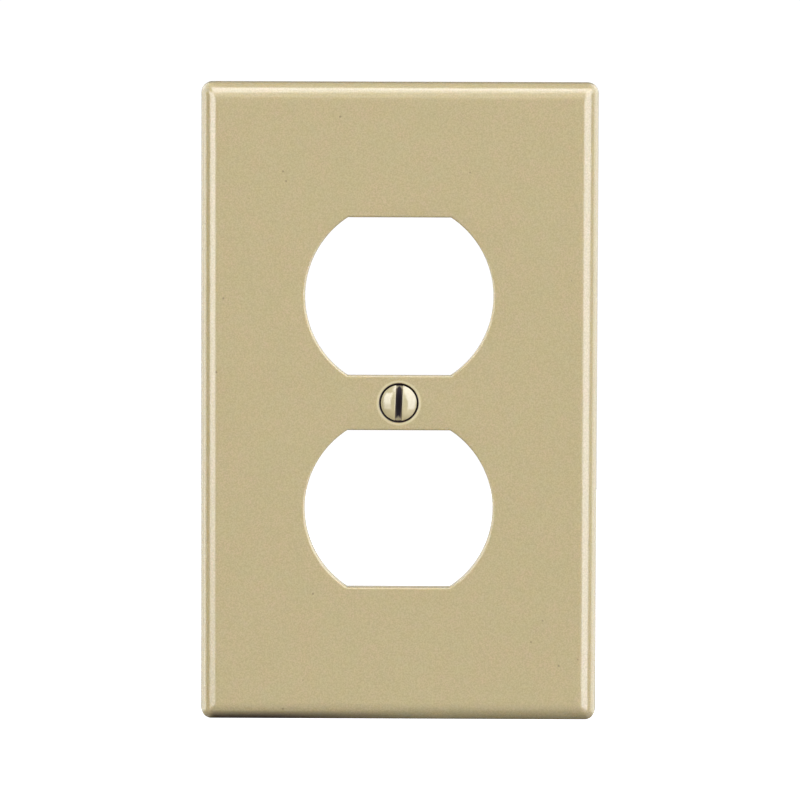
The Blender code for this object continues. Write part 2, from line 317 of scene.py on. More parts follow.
# ------------------------------------------------------------------ wall plate
def build_plate():
    b = Builder()

    # outside: face edge, rolled edge, drafted wall, back edge
    cy = FRONT + FILLET
    cs = (FILLET - cy * math.sin(DRAFT)) / math.cos(DRAFT)
    steps = 26
    outside = []
    for k in range(steps + 1):
        a = math.pi / 2 - (math.pi / 2 - DRAFT) * k / steps
        outside.append((cs - FILLET * math.cos(a), cy - FILLET * math.sin(a)))
    e = 0.15
    wall_top = outside[-1]
    foot = (0.0, -e)
    for k in range(1, 4):
        t = k / 4
        outside.append(
            (
                wall_top[0] + (foot[0] - wall_top[0]) * t,
                wall_top[1] + (foot[1] - wall_top[1]) * t,
            )
        )
    outside += [
        (0.0, -e),
        (e * 0.08, -e * 0.6),
        (e * 0.3, -e * 0.28),
        (e * 0.62, -e * 0.07),
        (e, 0.0),
    ]
    # flat back of the rim, its inner edge, the inner wall and inner fillet
    outside += [
        (RIM - e, 0.0),
        (RIM - e * 0.3, -e * 0.28),
        (RIM, -e),
    ]
    cyi = CEILING + INNER_FILLET
    csi = RIM + (INNER_FILLET - cyi * math.sin(INNER_DRAFT)) / math.cos(INNER_DRAFT)
    for k in range(9):
        a = INNER_DRAFT + (math.pi / 2 - INNER_DRAFT) * k / 8
        outside.append((csi - INNER_FILLET * math.cos(a), cyi - INNER_FILLET * math.sin(a)))
    outside = [(s, min(y + BACK, BACK)) for s, y in outside]
    rings = []
    for n, (s, y) in enumerate(outside):
        rings.append(outline(s, y, 0.22 if y <= cy or n < steps + 8 else 0.6))
    b.loft(rings)
    face_loop, ceiling_loop = rings[0], rings[-1]

    # openings: rolled front edge, wall, collar, flared foot
    r = OPEN_EDGE
    section = []
    for k in range(7):
        a = math.radians(90 * k / 6)
        section.append((r - r * math.sin(a), FRONT + r - r * math.cos(a)))
    collar_back = CEILING + COLLAR_H
    q = 0.15
    section += [
        (-0.004, FRONT + 1.2),
        (0.0, collar_back - q),
        (q * 0.3, collar_back - q * 0.3),
        (q, collar_back),
        (COLLAR_W - 0.04 - q, collar_back),
        (COLLAR_W - 0.04 - q * 0.3, collar_back - q * 0.3),
        (COLLAR_W - 0.03, collar_back - q),
    ]
    flare = 0.3
    for k in range(6):
        a = math.radians(180 + 90 * k / 5)
        section.append(
            (
                COLLAR_W + flare + flare * math.cos(a),
                CEILING + flare + flare * math.sin(a),
            )
        )
    face_holes, ceiling_holes = [], []
    for z0 in (OPEN_Z, -OPEN_Z):
        rings = [opening(g, y, z0) for g, y in section]
        b.loft(rings)
        face_holes.append(rings[0])
        ceiling_holes.append(rings[-1])

    # screw hole: countersink with a soft mouth, clearance hole, boss
    n = 96
    t = math.tan(SINK_HALF)
    depth = (SINK_R - HOLE_R) / t
    turn = math.pi / 2 - SINK_HALF
    bend = SINK_MOUTH / math.tan(turn / 2)
    section = [
        (SINK_R + SINK_MOUTH - bend * math.sin(turn * k / 8), FRONT + bend * (1 - math.cos(turn * k / 8)))
        for k in range(9)
    ]
    section += [
        (SINK_R - 0.5 * t, FRONT + 0.5),
        (HOLE_R + 0.08, FRONT + depth - 0.06),
        (HOLE_R + 0.02, FRONT + depth + 0.05),
        (HOLE_R, FRONT + depth + 0.2),
        (HOLE_R, BOSS_BACK - 1.5),
        (HOLE_R, BOSS_BACK - 0.15),
        (HOLE_R + 0.05, BOSS_BACK - 0.05),
        (HOLE_R + 0.15, BOSS_BACK),
        (BOSS_R - 0.15 - 0.04, BOSS_BACK),
        (BOSS_R - 0.04 - 0.05, BOSS_BACK - 0.05),
        (BOSS_R - 0.03, BOSS_BACK - 0.15),
    ]
    flare = 0.4
    for k in range(6):
        a = math.radians(180 + 90 * k / 5)
        section.append(
            (
                BOSS_R + 0.04 + flare + flare * math.cos(a),
                CEILING + flare + flare * math.sin(a),
            )
        )
    rings = [circle(rr, y, n) for rr, y in section]
    b.loft(rings)
    face_holes.append(rings[0])
    boss_foot = section[-1][0]
    ceiling_holes.append(rings[-1])

    # ejector-pin witness marks on the inside of the face
    pins = [
        (sx * x, sz * z)
        for x, z in ((30.2, 52.0), (30.2, 20.0), (12.0, 50.0))
        for sx in (1, -1)
        for sz in (1, -1)
    ]
    pin_r = 2.4
    for px, pz in pins:
        section = [
            (pin_r, CEILING),
            (pin_r - 0.03, CEILING + 0.05),
            (pin_r - 0.10, CEILING + 0.08),
            (pin_r - 0.30, CEILING + 0.08),
        ]
        rings = [circle(rr, y, 28, px, pz) for rr, y in section]
        loops = b.loft(rings)
        ceiling_holes.append(rings[0])
        b.face(loops[-1])

    hw, hh = W / 2 - outside[0][0], H / 2 - outside[0][0]

    def on_face(x, z, slack):
        return (
            abs(x) < hw - slack
            and abs(z) < hh - slack
            and not in_opening(x, z, OPEN_EDGE + slack)
            and math.hypot(x, z) > SINK_R + SINK_MOUTH + slack
        )

    b.plane(FRONT, face_loop, face_holes, on_face, 3.0)

    chw, chh = W / 2 - outside[-1][0], H / 2 - outside[-1][0]

    def on_ceiling(x, z, slack):
        return (
            abs(x) < chw - slack
            and abs(z) < chh - slack
            and not in_opening(x, z, COLLAR_W + 0.3 + slack)
            and math.hypot(x, z) > boss_foot + slack
            and all(math.hypot(x - px, z - pz) > pin_r + slack for px, pz in pins)
        )

    b.plane(CEILING, ceiling_loop, ceiling_holes, on_ceiling, 4.0)
    return b.finish("wall_plate_moulding")


def rib_section(height, top_half=0.5, flare=0.3, sink=0.25):
    """Half-section of a rib from its foot to its crown: (half width, depth)."""
    q = 0.14
    pts = [(top_half + 0.05 + flare, CEILING - sink)]
    for k in range(6):
        a = math.radians(270 - 90 * k / 5)
        pts.append(
            (
                top_half + 0.05 + flare + flare * math.cos(a),
                CEILING + flare + flare * math.sin(a),
            )
        )
    top = CEILING + height
    pts += [
        (top_half, top - q),
        (top_half - q * 0.3, top - q * 0.3),
        (top_half - q, top),
    ]
    return pts


def build_rib(name, height, along, at, start, end):
    """One rib running along X or Z at a fixed place on the other axis."""
    half = rib_section(height)
    ring = [(w, y) for w, y in half] + [(-w, y) for w, y in reversed(half)]
    b = Builder()
    rings = []
    for s in (start, end):
        if along == "z":
            rings.append([(at + w, y, s) for w, y in ring])
        else:
            rings.append([(s, y, at + w) for w, y in ring])
    loops = b.loft(rings)
    b.face(loops[0])
    b.face(loops[-1])
    return b.finish(name)


def join_ribs(plate):
    """Unite the ribs with the moulding and keep only the result."""
    end_x, end_z = W / 2 - RIM * 0.55, H / 2 - RIM * 0.55
    ribs = [
        build_rib("rib_a", 1.5, "z", SIDE_RIB_X, -end_z, end_z),
        build_rib("rib_b", 1.5, "z", -SIDE_RIB_X, -end_z, end_z),
        build_rib("rib_c", 1.6, "x", CROSS_RIB_Z, -end_x, end_x),
        build_rib("rib_d", 1.6, "x", -CROSS_RIB_Z, -end_x, end_x),
        build_rib("rib_e", 2.0, "x", 0.0, 3.0, end_x),
        build_rib("rib_f", 2.0, "x", 0.0, -end_x, -3.0),
    ]
    for rib in ribs:
        mod = plate.modifiers.new("unite_" + rib.name, "BOOLEAN")
        mod.operation = "UNION"
        mod.solver = "EXACT"
        mod.object = rib
    dg = bpy.context.evaluated_depsgraph_get()
    mesh = bpy.data.meshes.new_from_object(plate.evaluated_get(dg))
    old = plate.data
    plate.modifiers.clear()
    plate.data = mesh
    mesh.name = plate.name
    bpy.data.meshes.remove(old)
    for rib in ribs:
        data = rib.data
        bpy.data.objects.remove(rib)
        bpy.data.meshes.remove(data)


def smooth(obj, angle):
    obj.data.shade_smooth()
    obj.data.set_sharp_from_angle(angle=math.radians(angle))
    mod = obj.modifiers.new("even_normals", "WEIGHTED_NORMAL")
    mod.mode = "FACE_AREA"
    mod.keep_sharp = True
    mod.weight = 50


# ----------------------------------------------------------------------- screw
def head_height(r, steps=60):
    """Height of the oval head above its rim: nearly flat in the middle and
    steeper towards the edge."""
    total = 0.0
    for k in range(steps):
        at = r + (HEAD_R - r) * (k + 0.5) / steps
        total += math.tan(DOME_TILT * (at / HEAD_R) ** DOME_POWER) * (HEAD_R - r) / steps
    return total


def build_screw():
    """Head rim plane at y = FRONT; tip towards +y."""
    b = Builder()
    n = 96
    root = MAJOR - THREAD_DEPTH
    p = PITCH
    # rolled profile of one pitch: rounded root, flank, narrow rounded crest
    profile = [
        (0.00, root + 0.02),
        (0.06, root + 0.003),
        (0.125, root),
        (0.19, root + 0.003),
        (0.25, root + 0.02),
        (0.40, root + 0.02 + (THREAD_DEPTH - 0.06) * 0.48),
        (0.5625, MAJOR - 0.03),
        (0.59, MAJOR - 0.008),
        (0.625, MAJOR),
        (0.66, MAJOR - 0.008),
        (0.6875, MAJOR - 0.03),
        (0.85, root + 0.02 + (THREAD_DEPTH - 0.06) * 0.48),
    ]
    m = len(profile)
    start, end = THREAD_START, SCREW_LENGTH
    turns = int(math.ceil((end - start) / p)) + 1

    def point(i, j):
        turn, k = divmod(j, m)
        f, r = profile[k]
        y = start + (turn + f - 1 + i / n) * p
        y = min(max(y, start), end)
        r = min(r, root + (y - start) * 0.7, TIP_R + (end - y) * 0.9)
        a = 2 * math.pi * (i % n) / n
        return (r * math.cos(a), FRONT + y, r * math.sin(a))

    for i in range(n):
        for j in range((turns + 1) * m):
            q = [b.v(point(i, j)), b.v(point(i + 1, j)), b.v(point(i + 1, j + 1)), b.v(point(i, j + 1))]
            b.face((q[0], q[1], q[2]))
            b.face((q[0], q[2], q[3]))

    # tip: small chamfer land and a shallow turned centre
    tip = [circle(TIP_R, FRONT + end, n)]
    for r, y in ((TIP_R - 0.10, end), (TIP_R * 0.55, end - 0.03), (TIP_R * 0.2, end - 0.045)):
        tip.append(circle(r, FRONT + y, n))
    loops = b.loft(tip)
    b.face(loops[-1])

    # neck and cone under the head
    cone_end = 0.20 + (HEAD_R - NECK_R) / math.tan(HEAD_HALF)
    below = [circle(root, FRONT + start, n), circle(root + 0.03, FRONT + start - 0.06, n)]
    below.append(circle(NECK_R, FRONT + start - 0.2, n))
    for k in range(1, 6):
        t = k / 5
        y = (start - 0.2) + (cone_end + 0.12 - (start - 0.2)) * t
        below.append(circle(NECK_R, FRONT + y, n))
    below.append(circle(NECK_R + 0.05, FRONT + cone_end - 0.02, n))
    for k in range(1, 8):
        t = k / 8
        y = cone_end - (cone_end - 0.28) * t
        below.append(circle(NECK_R + (cone_end - y) * math.tan(HEAD_HALF), FRONT + y, n))
    loops = b.loft(below)
    lower = loops[-1]

    # slot section, from the lip's outer tangent to the middle of the floor
    half = SLOT_HALF
    lip = 0.20  # lip radius
    floor = 0.12  # depth of the floor below the face plane
    edge = half + lip
    def dome(r):
        return -head_height(min(r, HEAD_R))

    cols = [("dome", None)]
    slot_cols = []
    for k in range(0, 8):  # lip arc
        a = math.radians(90 * k / 7)
        slot_cols.append((edge - lip * math.sin(a), "lip", lip * (1 - math.cos(a))))
    slot_cols += [
        (half - 0.004, "abs", floor - 0.62),
        (half - 0.010, "abs", floor - 0.36),
        (half - 0.018, "abs", floor - 0.14),
        (half - 0.060, "abs", floor - 0.035),
        (half - 0.140, "abs", floor - 0.004),
        (half * 0.45, "abs", floor),
        (half * 0.15, "abs", floor),
    ]
    full = [(x, kind, d) for x, kind, d in slot_cols]
    full += [(-x, kind, d) for x, kind, d in reversed(slot_cols)]

    rows = 64
    c, s = math.cos(SLOT_TILT), math.sin(SLOT_TILT)
    reach = math.sqrt(HEAD_R**2 - edge**2)
    dcols = 22

    def place(x, y, z):
        # the slot's top leans towards +x
        return b.v((x * c + z * s, FRONT + y, -x * s + z * c))

    grid = []
    rim_points = []
    for i in range(rows + 1):
        sig = math.sin(math.pi / 2 * (-1 + 2 * i / rows))
        row = []
        z = reach * sig
        outer_x = math.sqrt(max(HEAD_R**2 - z * z, edge**2))
        for k in range(dcols):
            t = math.sin(math.pi / 2 * k / dcols)
            x = outer_x + (edge - outer_x) * (1 - math.cos(math.pi / 2 * k / dcols))
            x = outer_x * (1 - t) + edge * t
            row.append((x, z, dome(math.hypot(x, z))))
        for x, kind, d in full:
            zz = math.sqrt(HEAD_R**2 - x * x) * sig
            top = dome(math.hypot(x, zz))
            if kind == "lip":
                y = top + d
            else:
                y = max(d, top + lip * 1.02 + 0.02 * abs(d - floor))
                y = min(y, floor)
            row.append((x, zz, y))
        for k in reversed(range(dcols)):
            t = math.sin(math.pi / 2 * k / dcols)
            x = outer_x * (1 - t) + edge * t
            row.append((-x, z, dome(math.hypot(x, z))))
        grid.append(row)
    verts = [[place(x, y, z) for x, z, y in row] for row in grid]
    for i in range(rows):
        for k in range(len(grid[0]) - 1):
            b.face((verts[i][k], verts[i][k + 1], verts[i + 1][k + 1], verts[i + 1][k]))

    # boundary of the head's top, then its upright rim down to the cone
    boundary = []
    for i in range(rows + 1):
        boundary.append((grid[i][0], verts[i][0]))
        boundary.append((grid[i][-1], verts[i][-1]))
    for k in range(len(grid[0])):
        boundary.append((grid[0][k], verts[0][k]))
        boundary.append((grid[-1][k], verts[-1][k]))
    ring = {}
    for (x, z, y), v in boundary:
        ring[v] = math.atan2(v.co.z, v.co.x)
    ring = sorted(ring, key=lambda v: ring[v])
    levels = [(HEAD_R, 0.15), (HEAD_R - 0.012, 0.185), (HEAD_R - 0.045, 0.215)]
    previous = ring
    for r, y in levels:
        current = []
        for v in ring:
            a = math.atan2(v.co.z, v.co.x)
            current.append(b.v((r * math.cos(a), FRONT + y, r * math.sin(a))))
        for i in range(len(previous)):
            j = (i + 1) % len(previous)
            b.face((previous[i], previous[j], current[j], current[i]))
        previous = current
    b.zip_rings(previous, lower)
    return b.finish("slotted_oval_head_screw")


# ---------------------------------------------------------------------- washer
def build_washer():
    b = Builder()
    y0, y1 = washer_lo.y / MM, washer_hi.y / MM
    r1 = (washer_hi.x - washer_lo.x) / 2 / MM
    n = 120
    e = 0.14

    def bore(a):
        # three shallow flats that grip the thread
        return 1.84 + 0.06 * math.cos(3 * a) ** 2

    section = []
    for k in range(6):
        a = math.radians(90 * k / 5)
        section.append((r1 - e + e * math.sin(a), y0 + e - e * math.cos(a)))
    for k in range(6):
        a = math.radians(90 * k / 5)
        section.append((r1 - e + e * math.cos(a), y1 - e + e * math.sin(a)))
    rings = [
        [(r * math.cos(2 * math.pi * i / n), y, r * math.sin(2 * math.pi * i / n)) for i in range(n)]
        for r, y in section
    ]
    inner = []
    for k in range(6):
        a = math.radians(90 * k / 5)
        inner.append((e - e * math.sin(a), y1 - e + e * math.cos(a)))
    inner.append((-0.01, (y0 + y1) / 2))
    for k in range(6):
        a = math.radians(90 * k / 5)
        inner.append((e - e * math.cos(a), y0 + e - e * math.sin(a)))
    mid_back = [
        [((bore(2 * math.pi * i / n) * 0.5 + r1 * 0.5) * math.cos(2 * math.pi * i / n), y1 - 0.03, (bore(2 * math.pi * i / n) * 0.5 + r1 * 0.5) * math.sin(2 * math.pi * i / n)) for i in range(n)]
    ]
    rings += mid_back
    for d, y in inner:
        rings.append(
            [
                (
                    (bore(2 * math.pi * i / n) + d) * math.cos(2 * math.pi * i / n),
                    y,
                    (bore(2 * math.pi * i / n) + d) * math.sin(2 * math.pi * i / n),
                )
                for i in range(n)
            ]
        )
    rings.append(
        [((bore(2 * math.pi * i / n) * 0.5 + r1 * 0.5) * math.cos(2 * math.pi * i / n), y0 + 0.03, (bore(2 * math.pi * i / n) * 0.5 + r1 * 0.5) * math.sin(2 * math.pi * i / n)) for i in range(n)]
    )
    rings.append(rings[0])
    b.loft(rings)
    return b.finish("nylon_retaining_washer")


# ------------------------------------------------------------------- materials
class Nodes:
    """A small helper for building a material's node tree."""

    def __init__(self, name):
        self.mat = bpy.data.materials.new(name)
        self.mat.use_nodes = True
        self.tree = self.mat.node_tree
        self.tree.nodes.clear()
        self.out = self.tree.nodes.new("ShaderNodeOutputMaterial")
        self.bsdf = self.tree.nodes.new("ShaderNodeBsdfPrincipled")
        self.link(self.bsdf.outputs[0], self.out.inputs[0])
        self.coord = self.tree.nodes.new("ShaderNodeTexCoord")

    def link(self, a, b):
        self.tree.links.new(a, b)

    def noise(self, scale, detail=2.0, rough=0.5, distortion=0.0, offset=None):
        node = self.tree.nodes.new("ShaderNodeTexNoise")
        node.inputs["Scale"].default_value = scale
        node.inputs["Detail"].default_value = detail
        node.inputs["Roughness"].default_value = rough
        node.inputs["Distortion"].default_value = distortion
        src = self.coord.outputs["Object"]
        if offset is not None:
            mapping = self.tree.nodes.new("ShaderNodeMapping")
            mapping.inputs["Location"].default_value = offset
            self.link(src, mapping.inputs["Vector"])
            src = mapping.outputs["Vector"]
        self.link(src, node.inputs["Vector"])
        return node.outputs["Fac"]

    def voronoi(self, scale, feature="F1", randomness=1.0):
        node = self.tree.nodes.new("ShaderNodeTexVoronoi")
        node.feature = feature
        node.inputs["Scale"].default_value = scale
        node.inputs["Randomness"].default_value = randomness
        self.link(self.coord.outputs["Object"], node.inputs["Vector"])
        return node

    def remap(self, value, lo, hi, out_lo, out_hi, smooth=False):
        node = self.tree.nodes.new("ShaderNodeMapRange")
        node.clamp = True
        if smooth:
            node.interpolation_type = "SMOOTHSTEP"
        node.inputs["From Min"].default_value = lo
        node.inputs["From Max"].default_value = hi
        node.inputs["To Min"].default_value = out_lo
        node.inputs["To Max"].default_value = out_hi
        self.link(value, node.inputs["Value"])
        return node.outputs["Result"]

    def math(self, op, a, b):
        node = self.tree.nodes.new("ShaderNodeMath")
        node.operation = op
        for i, x in enumerate((a, b)):
            if isinstance(x, (int, float)):
                node.inputs[i].default_value = x
            else:
                self.link(x, node.inputs[i])
        return node.outputs[0]

    def mix(self, factor, a, b):
        node = self.tree.nodes.new("ShaderNodeMix")
        node.data_type = "RGBA"
        for socket, x in ((node.inputs["Factor"], factor), (node.inputs["A"], a), (node.inputs["B"], b)):
            if isinstance(x, (int, float)):
                socket.default_value = x
            elif isinstance(x, tuple):
                socket.default_value = (*x, 1.0)
            else:
                self.link(x, socket)
        return node.outputs["Result"]

    def bump(self, height, strength, distance, normal=None):
        node = self.tree.nodes.new("ShaderNodeBump")
        node.inputs["Strength"].default_value = strength
        node.inputs["Distance"].default_value = distance
        self.link(height, node.inputs["Height"])
        if normal is not None:
            self.link(normal, node.inputs["Normal"])
        return node.outputs["Normal"]


def radius_from_axis(m):
    """Distance from the screw's axis, in millimetres, and depth from the face."""
    split = m.tree.nodes.new("ShaderNodeSeparateXYZ")
    m.link(m.coord.outputs["Object"], split.inputs[0])
    x, y, z = split.outputs
    square = m.math("ADD", m.math("MULTIPLY", x, x), m.math("MULTIPLY", z, z))
    radius = m.math("MULTIPLY", m.math("POWER", square, 0.5), 1.0 / MM)
    depth = m.math("MULTIPLY", m.math("SUBTRACT", y, FRONT * MM), 1.0 / MM)
    return x, z, radius, depth


def ivory_material():
    m = Nodes("ivory_moulded_nylon")
    s = m.bsdf.inputs
    # cloudy pigment, fine grain and rare dark specks
    cloud = m.noise(260.0, 3.0, 0.6)
    mottle = m.noise(900.0, 2.0, 0.6, offset=(0.31, 0.12, 0.07))
    grain = m.noise(3700.0, 1.0, 0.6)
    base = m.mix(m.remap(cloud, 0.36, 0.64, 0.0, 1.0), IVORY[0], IVORY[1])
    base = m.mix(m.remap(mottle, 0.35, 0.65, 0.0, 0.7), base, IVORY[2])
    tone = m.mix(m.remap(grain, 0.34, 0.66, 0.1, 0.9), base, IVORY[3])
    specks = m.voronoi(330.0)
    speck = m.remap(specks.outputs["Distance"], 0.04, 0.085, 1.0, 0.0, smooth=True)
    pick = m.remap(m.noise(90.0, 0.0, 0.5, offset=(0.9, 0.4, 0.2)), 0.66, 0.70, 0.0, 0.5)
    tone = m.mix(m.math("MULTIPLY", speck, pick), tone, (0.17, 0.13, 0.08))
    # painted shade: a near-black colour, with metallic that kills the sheen, in the countersink round the screw's
    # head, where the gap between head and plate lies in shade
    x, z, radius, depth = radius_from_axis(m)
    inside = m.remap(radius, SINK_R - 0.04, SINK_R + 0.04, 1.0, 0.0, smooth=True)
    sunk = m.remap(depth, 0.02, 0.06, 0.0, 1.0)
    open_part = m.remap(depth, 1.6, 2.4, 1.0, 0.0)
    gap_shade = m.math("MULTIPLY", m.math("MULTIPLY", inside, sunk), open_part)
    # painted highlight: a paler ring round the countersink's mouth
    lip = m.math("MULTIPLY", m.remap(radius, 3.70, 3.82, 0.0, 0.8, smooth=True), m.remap(radius, 3.96, 4.24, 1.0, 0.0, smooth=True))
    lip = m.math("MULTIPLY", lip, m.remap(depth, 0.4, 0.8, 1.0, 0.0))
    tone = m.mix(lip, tone, MOUTH_HIGHLIGHT)
    tone = m.mix(gap_shade, tone, GAP_SHADE)
    # painted shade: a dark band along the left half of the lower rolled edge
    lower_edge_shade = m.math("MULTIPLY", m.remap(z, -0.0579, -0.0566, 0.86, 0.0), m.remap(x, -0.0355, -0.0335, 0.0, 1.0, smooth=True))
    lower_edge_shade = m.math("MULTIPLY", lower_edge_shade, m.remap(x, -0.022, 0.006, 1.0, 0.0))
    lower_edge_shade = m.math("MULTIPLY", lower_edge_shade, m.remap(depth, 5.0, 5.6, 1.0, 0.0))
    tone = m.mix(lower_edge_shade, tone, LOWER_EDGE_SHADE)
    m.link(tone, s["Base Color"])
    m.link(gap_shade, s["Metallic"])
    s["Subsurface Weight"].default_value = 0.6
    s["Subsurface Radius"].default_value = (1.0, 0.8, 0.5)
    s["Subsurface Scale"].default_value = 0.0009
    rough = m.remap(m.noise(900.0, 3.0, 0.6, offset=(0.2, 0.5, 0.8)), 0.3, 0.7, 0.15, 0.21)
    rough = m.math("ADD", rough, m.math("MULTIPLY", gap_shade, 0.5))
    m.link(rough, s["Roughness"])
    s["IOR"].default_value = 1.60
    s["Specular IOR Level"].default_value = 1.0
    normal = m.bump(m.noise(2600.0, 2.0, 0.6), 0.05, 0.00003)
    normal = m.bump(m.noise(620.0, 2.0, 0.5, offset=(0.4, 0.1, 0.6)), 0.03, 0.00008, normal)
    m.link(normal, s["Normal"])
    return m.mat


def screw_material():
    m = Nodes("painted_head_zinc_thread")
    s = m.bsdf.inputs
    x, z, radius, depth = radius_from_axis(m)
    wobble = m.math("MULTIPLY", m.noise(1200.0, 3.0, 0.6), 0.9)
    # paint covers the head and fades out on the cone below its rim
    zinc = m.remap(m.math("ADD", depth, wobble), 1.0, 1.6, 0.0, 1.0)
    paint = m.mix(m.remap(m.noise(900.0, 3.0, 0.6), 0.35, 0.65, 0.0, 1.0), PAINT[0], PAINT[1])
    paint = m.mix(m.remap(m.noise(2600.0, 2.0, 0.6), 0.4, 0.7, 0.0, 0.5), paint, PAINT[2])
    # distance from the slot's middle plane, which leans with the slot
    c, t = math.cos(SLOT_TILT), math.sin(SLOT_TILT)
    across = m.math("SUBTRACT", m.math("MULTIPLY", x, c / MM), m.math("MULTIPLY", z, t / MM))
    along = m.math("ADD", m.math("MULTIPLY", x, t / MM), m.math("MULTIPLY", z, c / MM))
    off = m.math("ABSOLUTE", across, 0.0)
    within = m.remap(off, SLOT_HALF + 0.08, SLOT_HALF + 0.20, 1.0, 0.0, smooth=True)
    # the dome's own depth at this radius, so that only the slot is darkened
    bulge = m.math("POWER", m.remap(radius, 0.0, HEAD_R, 0.0, 1.0), DOME_POWER + 1.1)
    below = m.math("ADD", depth, m.remap(bulge, 0.0, 1.0, head_height(0.0), 0.0))
    sunk = m.remap(below, 0.06, 0.15, 0.0, 1.0)
    # painted shade fills the slot, standing in for the shade in it; it is lifted where the slot runs out and
    # light reaches the floor: a wedge at the lower end, and beside the dark core at the upper one
    slope = m.math("MULTIPLY", off, 0.9)
    lower_end = m.remap(m.math("ADD", along, slope), -2.95, -2.05, 0.8, 0.0, smooth=True)
    upper_end = m.remap(m.math("ADD", along, slope), 2.95, 3.25, 0.0, 0.7, smooth=True)
    floor_end = m.math("MAXIMUM", lower_end, upper_end)
    painted_shade = m.math("MULTIPLY", m.math("MULTIPLY", within, sunk), m.math("SUBTRACT", 1.0, floor_end))
    # painted light: the paint grows paler towards the lower part of the head, standing in for light from below
    paint = m.mix(m.remap(z, -0.0022, 0.0004, 1.0, 0.0, smooth=True), paint, PAINT_LIT_FROM_BELOW)
    # the painted shade's near-black core narrows towards both ends, where the slot's shoulders show a lighter
    # painted shade
    taper = m.remap(m.math("ABSOLUTE", along, 0.0), 0.6, 2.9, 0.09, 0.27, smooth=True)
    core = m.remap(m.math("ADD", off, taper), SLOT_HALF - 0.06, SLOT_HALF + 0.06, 1.0, 0.0, smooth=True)
    paint = m.mix(painted_shade, paint, m.mix(core, SLOT_WALL_SHADE, SLOT_SHADE))
    # painted shade: the head's upright rim under the dome, in the gap above the countersink, takes the near-black
    # gap shade
    under = m.remap(depth, 0.03, 0.12, 0.0, 1.0)
    outer = m.remap(radius, HEAD_R - 0.14, HEAD_R - 0.06, 0.0, 1.0)
    head_rim_shade = m.math("MULTIPLY", under, outer)
    paint = m.mix(head_rim_shade, paint, GAP_SHADE)
    painted_shade = m.math("MAXIMUM", painted_shade, head_rim_shade)
    bare = m.mix(m.remap(m.noise(2600.0, 3.0, 0.7), 0.3, 0.7, 0.0, 1.0), (0.52, 0.53, 0.55), (0.70, 0.71, 0.72))
    m.link(m.mix(zinc, paint, bare), s["Base Color"])
    m.link(m.math("MAXIMUM", zinc, painted_shade), s["Metallic"])
    rough_paint = m.remap(m.noise(1500.0, 2.0, 0.5), 0.3, 0.7, 0.11, 0.17)
    rough_paint = m.math("ADD", rough_paint, m.math("MULTIPLY", painted_shade, 0.5))
    rough_bare = m.remap(m.noise(3200.0, 3.0, 0.6), 0.3, 0.7, 0.22, 0.40)
    mixr = m.tree.nodes.new("ShaderNodeMix")
    m.link(zinc, mixr.inputs["Factor"])
    m.link(rough_paint, mixr.inputs[2])
    m.link(rough_bare, mixr.inputs[3])
    m.link(mixr.outputs[0], s["Roughness"])
    s["IOR"].default_value = 1.60
    s["Specular IOR Level"].default_value = 1.0
    normal = m.bump(m.noise(900.0, 2.0, 0.5), 0.08, 0.00005)
    normal = m.bump(m.noise(5200.0, 2.0, 0.5), 0.05, 0.00002, normal)
    m.link(normal, s["Normal"])
    return m.mat


def washer_material():
    m = Nodes("natural_nylon")
    s = m.bsdf.inputs
    tone = m.mix(m.remap(m.noise(650.0, 3.0, 0.6), 0.35, 0.65, 0.0, 1.0), (0.70, 0.68, 0.59), (0.80, 0.785, 0.72))
    m.link(tone, s["Base Color"])
    m.link(m.remap(m.noise(1800.0, 2.0, 0.5), 0.3, 0.7, 0.36, 0.52), s["Roughness"])
    s["IOR"].default_value = 1.53
    s["Subsurface Weight"].default_value = 0.25
    s["Subsurface Radius"].default_value = (1.0, 0.9, 0.7)
    s["Subsurface Scale"].default_value = 0.0006
    m.link(m.bump(m.noise(2400.0, 3.0, 0.6), 0.12, 0.00004), s["Normal"])
    return m.mat


# --------------------------------------------------------------------- studio
def softbox(name, azimuth, elevation, distance, width, height, power, colour=(1, 1, 1)):
    """A flat area light that faces the object. Azimuth 0 is in front, at -y."""
    a, e = math.radians(azimuth), math.radians(elevation)
    d = Vector((math.sin(a) * math.cos(e), -math.cos(a) * math.cos(e), math.sin(e)))
    light = bpy.data.lights.new(name, "AREA")
    light.shape = "RECTANGLE"
    light.size = width
    light.size_y = height
    light.energy = power
    light.color = colour
    obj = bpy.data.objects.new(name, light)
    obj.location = d * distance
    obj.rotation_euler = d.to_track_quat("Z", "Y").to_euler()
    bpy.context.scene.collection.objects.link(obj)
    return obj


BOX_LEFT, BOX_RIGHT, BOX_TOP = 2.72, 2.15, 2.45
WALLS, REAR_MIDDLE, CEILING_GLOW, AMBIENT = 1.4, 0.08, 0.8, 0.01
BAND, REAR_FILL, LEFT_EDGE, RIGHT_EDGE = 0.8, 0.4, 1.2, 0.15
TABLE = (0.15, 0.6)
COOL = (0.97, 0.98, 1.08)
WARM = (1.0, 0.985, 1.0)
PALE = (1.0, 0.985, 0.92)


def strip(name, azimuths, elevations, radiance, colour):
    """A softbox that spans the given angles as seen from the object."""
    r = 2.4
    width = 2 * r * math.tan(math.radians(azimuths[1] - azimuths[0]) / 2)
    height = 2 * r * math.tan(math.radians(elevations[1] - elevations[0]) / 2)
    azimuth = (azimuths[0] + azimuths[1]) / 2
    elevation = (elevations[0] + elevations[1]) / 2
    softbox(name, azimuth, elevation, r, width, height, 4 * width * height * radiance, colour)


